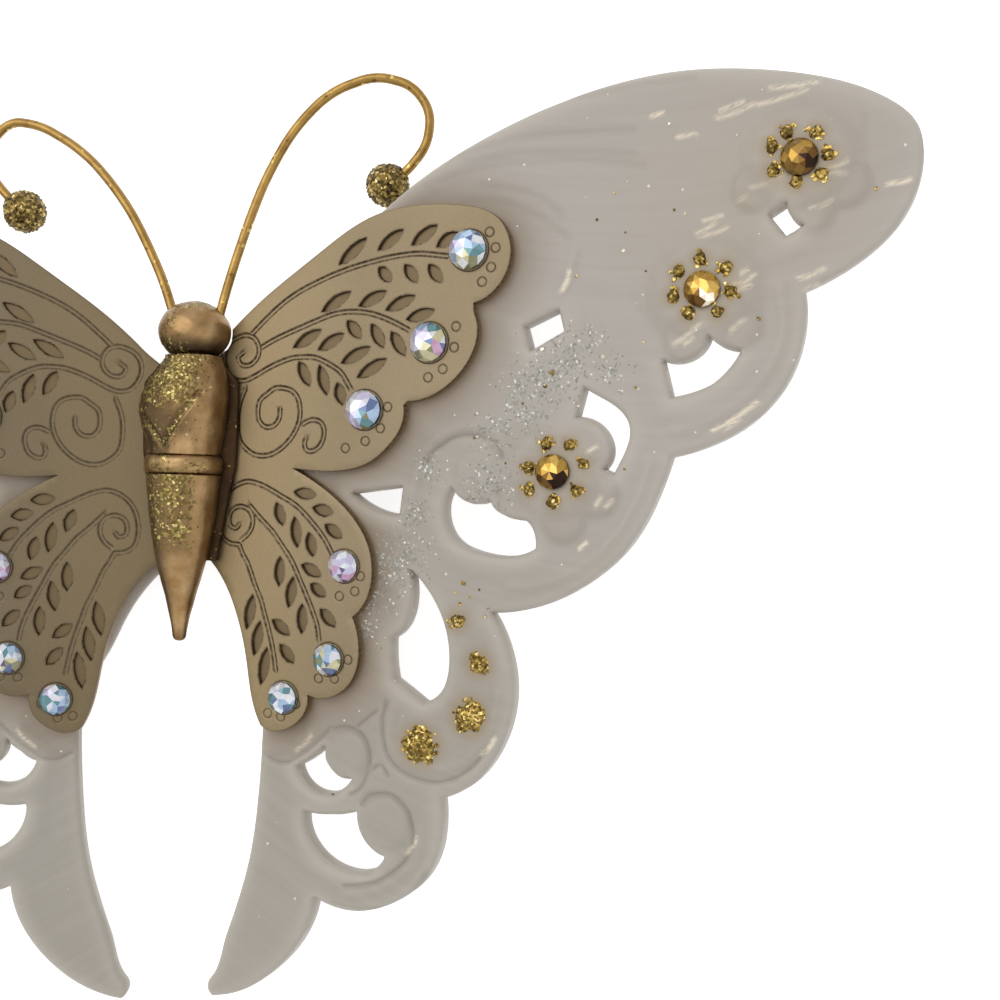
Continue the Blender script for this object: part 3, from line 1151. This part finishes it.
def specks(name, spots, side, seed, material):
    """Thin flakes of irregular outline that lie on the casting."""
    draw = random.Random(seed)
    foot = wing_heights(np.array([place for place, _ in spots]), np.full(len(spots), EDGE_RADIUS * 4))
    points, faces = [], []
    for (middle, radius), level in zip(spots, foot):
        first = len(points)
        corners = draw.choice((5, 6, 7))
        turn = draw.uniform(0, 2 * pi)
        tilt = draw.uniform(0.0, SPECK_TILT)
        for height in (-SPECK_THICKNESS, SPECK_THICKNESS):
            for corner in range(corners):
                angle = turn + 2 * pi * corner / corners
                reach = radius * (0.75 + 0.45 * ((corner * 7 + len(points)) % 5) / 4)
                points.append((middle[0] + reach * cos(angle), middle[1] + reach * sin(angle),
                               level + height + tilt * radius * cos(angle)))
        faces.append(tuple(first + corner for corner in reversed(range(corners))))
        upper = first + corners
        faces.append(tuple(upper + corner for corner in range(corners)))
        for corner in range(corners):
            following = (corner + 1) % corners
            faces.append((first + corner, first + following, upper + following, upper + corner))
    glitter_object(name, points, faces, side, material, None)


# Flecks that lie round the rim of every dot and dab of glitter
FLECKS_PER_MM = 5
FLECK_RADII = (0.18, 0.34)
FLECK_SCATTER = 0.25
flecks = []
draw = random.Random(12)
for (x, y), radius in dots + dabs:
    for _ in range(ceil(FLECKS_PER_MM * radius)):
        turn = draw.uniform(0, 2 * pi)
        reach = radius * draw.uniform(0.85, 1.0) + draw.uniform(0.0, FLECK_SCATTER)
        flecks.append(((x + reach * cos(turn), y + reach * sin(turn)), draw.uniform(*FLECK_RADII)))
speck_kinds = (("gold", gold_specks, 5, glitter_gold), ("dark", dark_specks, 6, ball_gold),
               ("bright", bright_specks, 8, bright_flake))
for side in SIDES:
    for name, shares, seed, metal in speck_kinds:
        spots = [(wing_place(share), radius) for share, radius in shares]
        specks(f"{name}_specks_{side}", spots, side, seed, metal)
    specks("flecks_" + side, flecks, side, 7, glitter_gold)


# Body: the CAD solids with a crust of glitter and a hand-modelled surface

def rough_copy(node, cell, shape):
    """A finely divided copy of a node whose points a function moves: shape(point) gives the
    distance in mm, the glitter share and how light the metal is."""
    made = place_object("rough_" + node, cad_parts[node].data.copy())
    remesh = made.modifiers.new("fine", "REMESH")
    remesh.mode = "VOXEL"
    remesh.voxel_size = cell * MM
    fine = bpy.data.meshes.new_from_object(made.evaluated_get(bpy.context.evaluated_depsgraph_get()))
    made.modifiers.clear()
    made.data = fine
    shaped = [shape(vertex.co / MM) for vertex in fine.vertices]
    moved = [vertex.co + vertex.normal * entry[0] * MM for vertex, entry in zip(fine.vertices, shaped)]
    for vertex, place in zip(fine.vertices, moved):
        vertex.co = place
    fine.shade_smooth()
    set_layers(fine, glitter=[entry[1] for entry in shaped], shade=[entry[2] for entry in shaped])
    return made


def crust(point, share, size=0.34, height=0.14):
    """The lift of coarse glitter where its share is high."""
    return height * share * (grain(point, size) - 0.2)


def rise(low, high, value):
    """A soft rise of one number, or a fall where the first limit is the higher one."""
    return float(smoothstep(low, high, value))


def patchy(point, size, low, high):
    """A soft patch mask from noise."""
    return rise(low, high, 0.5 + 0.5 * noise.fractal(point / size, 1.0, 2.0, 3))


def line_distance(point, start, end):
    """Distance in the plan view from a point to a straight line."""
    along = end - start
    part = max(0.0, min(1.0, (point - start).dot(along) / along.length_squared))
    return (point - start - along * part).length


body_boxes = {node: [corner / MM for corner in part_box(node)] for node in ("thorax", "head", "abdomen")}
v_line_shares = [((0.80, 0.62), (0.38, 0.10)), ((0.08, 0.44), (0.38, 0.10))]


def box_share(point, node):
    """A point's place across and up a node's box, from 0 to 1."""
    low, high = body_boxes[node]
    return [(point[i] - low[i]) / (high[i] - low[i]) for i in range(2)]


def thorax_shape(point):
    """A V of grooves, glitter above it and on the flank, and a light facet at the foot."""
    across, up = box_share(point, "thorax")
    low, high = body_boxes["thorax"]
    groove = 0.0
    for line in v_line_shares:
        ends = [Vector((low[0] + (high[0] - low[0]) * x, low[1] + (high[1] - low[1]) * y)) for x, y in line]
        groove = max(groove, 1 - rise(0.1, 0.6, line_distance(Vector(point[:2]), *ends)))
    corner = rise(0.42, 0.62, up) * rise(0.95, 0.55, across)
    flank = rise(0.28, 0.05, across) * rise(0.05, 0.2, up)
    sprinkle = rise(0.9, 0.6, across) * rise(0.02, 0.2, up)
    share = max(corner * patchy(point, 1.2, 0.12, 0.42), 0.7 * flank * patchy(point, 1.0, 0.3, 0.6),
                0.5 * groove, 0.3 * sprinkle * patchy(point, 0.9, 0.45, 0.7))
    facet = rise(0.24, 0.12, up) * rise(0.44, 0.5, across) * rise(0.74, 0.66, across)
    shade = 0.42 + 0.7 * facet - 0.2 * groove - 0.05 * flank + 0.6 * rise(0.45, 0.85, across)
    lift = crust(point, share, height=0.2) - 0.3 * groove + 0.1 * noise.noise(point / 1.8)
    return lift, share, shade


def head_shape(point):
    """Glitter on the crown, in a streak and low on the left, and a darker underside."""
    across, up = box_share(point, "head")
    top = rise(0.76, 0.95, up) * rise(0.95, 0.75, across)
    streak = rise(0.12, 0.05, abs(across - 0.28)) * rise(0.3, 0.5, up)
    low_left = rise(0.42, 0.15, up) * rise(0.75, 0.3, across)
    share = min(1.0, 0.8 * max(top, 0.7 * streak, 0.5 * low_left) * patchy(point, 0.9, 0.25, 0.55))
    shade = 0.22 + 0.86 * rise(0.12, 0.38, up) - 0.35 * top - 0.25 * low_left * share
    return crust(point, share) + 0.07 * noise.noise(point / 1.5), share, shade


def abdomen_shape(point):
    """Glitter on the upper middle, and a lit ridge down to a dark tip."""
    across, up = box_share(point, "abdomen")
    share = 0.75 * rise(0.42, 0.25, abs(across - 0.42)) * rise(0.5, 0.66, up) * patchy(point, 1.2, 0.22, 0.5)
    lit = rise(0.7, 0.15, abs((across - 0.5) / (0.12 + 0.38 * up) - 0.1))
    shade = 0.6 + 0.1 * lit + (0.05 + 0.6 * lit) * rise(0.62, 0.42, up)
    shade += 0.5 * rise(0.55, 0.9, across) - 0.5 * rise(0.14, 0.0, up)
    return crust(point, share) + 0.05 * noise.noise(point / 1.6), share, shade


def collar_shape(point):
    share = 0.5 * patchy(point, 1.0, 0.45, 0.7)
    return 0.13 + crust(point, share) + 0.06 * noise.noise(point / 1.4), share, 1.05


def bed_shape(point):
    return 0.05 * noise.noise(point / 1.2), 0.12 * patchy(point, 1.2, 0.4, 0.7), 1.0


def ball_shape(point):
    return crust(point, 1.0, 0.5, 0.3) - 0.3, 1.0, 1.0


BODY_CELL, BED_CELL, BALL_CELL = 0.13, 0.22, 0.14
for node, shape in (("thorax", thorax_shape), ("head", head_shape), ("abdomen", abdomen_shape),
                    ("waist_collar", collar_shape)):
    dress(rough_copy(node, BODY_CELL, shape), bronze, "bronze", node)
dress(rough_copy("body_bed", BED_CELL, bed_shape), bed_bronze, "bronze", "body_bed")
for node in ("antenna_ball_right", "antenna_ball_left"):
    dress(rough_copy(node, BALL_CELL, ball_shape), ball_gold, "ball_glitter", node)
for node, metal in (("antenna_wire_right", wire_gold), ("antenna_wire_left", wire_gold),
                    ("spine_block", spine_bronze)):
    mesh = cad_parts[node].data
    mesh.materials.clear()
    mesh.materials.append(metal)
    if metal == wire_gold:
        mesh.shade_smooth()


# Camera at the photo's viewing angle

FOCAL_PIXELS = 1300.0
IMAGE_PIXELS = 1000.0
SENSOR_WIDTH = 36.0
CLIP_START = 0.01
CAMERA_TURN = radians(8.0)
CAMERA_ROLL = radians(1.5)
ROOT_PIXEL = (191.0, 440.0)
ROOT_DISTANCE = 169.0

look = Vector((-sin(CAMERA_TURN), 0.0, -cos(CAMERA_TURN)))
level_right = Vector((cos(CAMERA_TURN), 0.0, -sin(CAMERA_TURN)))
north = Vector((0.0, 1.0, 0.0))
right = level_right * cos(CAMERA_ROLL) + north * sin(CAMERA_ROLL)
up = north * cos(CAMERA_ROLL) - level_right * sin(CAMERA_ROLL)
root_right = (ROOT_PIXEL[0] - IMAGE_PIXELS / 2) / FOCAL_PIXELS
root_up = (IMAGE_PIXELS / 2 - ROOT_PIXEL[1]) / FOCAL_PIXELS
camera_place = Vector((0.0, 0.0, ROOT_HEIGHT)) - ROOT_DISTANCE * (look + right * root_right + up * root_up)
camera_data = bpy.data.cameras.new("camera")
camera_data.sensor_width = SENSOR_WIDTH
camera_data.lens = SENSOR_WIDTH * FOCAL_PIXELS / IMAGE_PIXELS
camera_data.clip_start = CLIP_START
camera = place_object("camera", camera_data)
camera.matrix_world = Matrix.Translation(camera_place * MM) @ Matrix((right, up, -look)).transposed().to_4x4()
bpy.context.scene.camera = camera


# Floor, lights and background

LAMP_SIZE = 1.0
FLOOR_COLOUR = (0.86, 0.86, 0.86, 1.0)
FLOOR_GLOW = (0.75, 0.75, 0.75, 1.0)
FLOOR_HALF = 2.0
FLOOR_GAP = 0.0002
AMBIENT = 0.5

for name, place, power in (("key", (-0.45, 0.38, 0.95), 5.1), ("fill", (0.85, -0.4, 0.75), 1.2)):
    lamp_data = bpy.data.lights.new(name, "AREA")
    lamp_data.size = LAMP_SIZE
    lamp_data.energy = power
    lamp = place_object(name, lamp_data)
    lamp.location = place
    lamp.rotation_euler = (-Vector(place)).to_track_quat("-Z", "Y").to_euler()

def seen_directly(tree):
    """1 where the camera, a reflection or a refraction sees the surface, and 0 for its other light."""
    path = tree.nodes.new("ShaderNodeLightPath")
    total = path.outputs["Is Camera Ray"]
    for name in ("Is Glossy Ray", "Is Transmission Ray"):
        node = tree.nodes.new("ShaderNodeMath")
        node.operation = "MAXIMUM"
        tree.links.new(total, node.inputs[0])
        tree.links.new(path.outputs[name], node.inputs[1])
        total = node.outputs[0]
    return total


floor_material = bpy.data.materials.new("floor")
floor_material.use_nodes = True
tree = floor_material.node_tree
tree.nodes.clear()
matte = tree.nodes.new("ShaderNodeBsdfDiffuse")
matte.inputs["Color"].default_value = FLOOR_COLOUR
glow = tree.nodes.new("ShaderNodeEmission")
tree.links.new(seen_directly(tree), glow.inputs["Strength"])
glow.inputs["Color"].default_value = FLOOR_GLOW
both = tree.nodes.new("ShaderNodeAddShader")
tree.links.new(matte.outputs[0], both.inputs[0])
tree.links.new(glow.outputs[0], both.inputs[1])
output = tree.nodes.new("ShaderNodeOutputMaterial")
tree.links.new(both.outputs[0], output.inputs["Surface"])
floor_corners = [(x * FLOOR_HALF, y * FLOOR_HALF, -FLOOR_GAP)
                 for x, y in ((-1, -1), (1, -1), (1, 1), (-1, 1))]
floor = new_object("floor", floor_corners, [(0, 1, 2, 3)])
floor.data.materials.append(floor_material)

world = bpy.data.worlds.new("world")
world.use_nodes = True
bpy.context.scene.world = world
tree = world.node_tree
background = tree.nodes["Background"]
background.inputs["Color"].default_value = (1.0, 1.0, 1.0, 1.0)
strength = tree.nodes.new("ShaderNodeMapRange")
tree.links.new(seen_directly(tree), strength.inputs["Value"])
strength.inputs["To Min"].default_value = AMBIENT
strength.inputs["To Max"].default_value = 1.0
tree.links.new(strength.outputs[0], background.inputs["Strength"])

bpy.context.scene.view_settings.view_transform = "Standard"
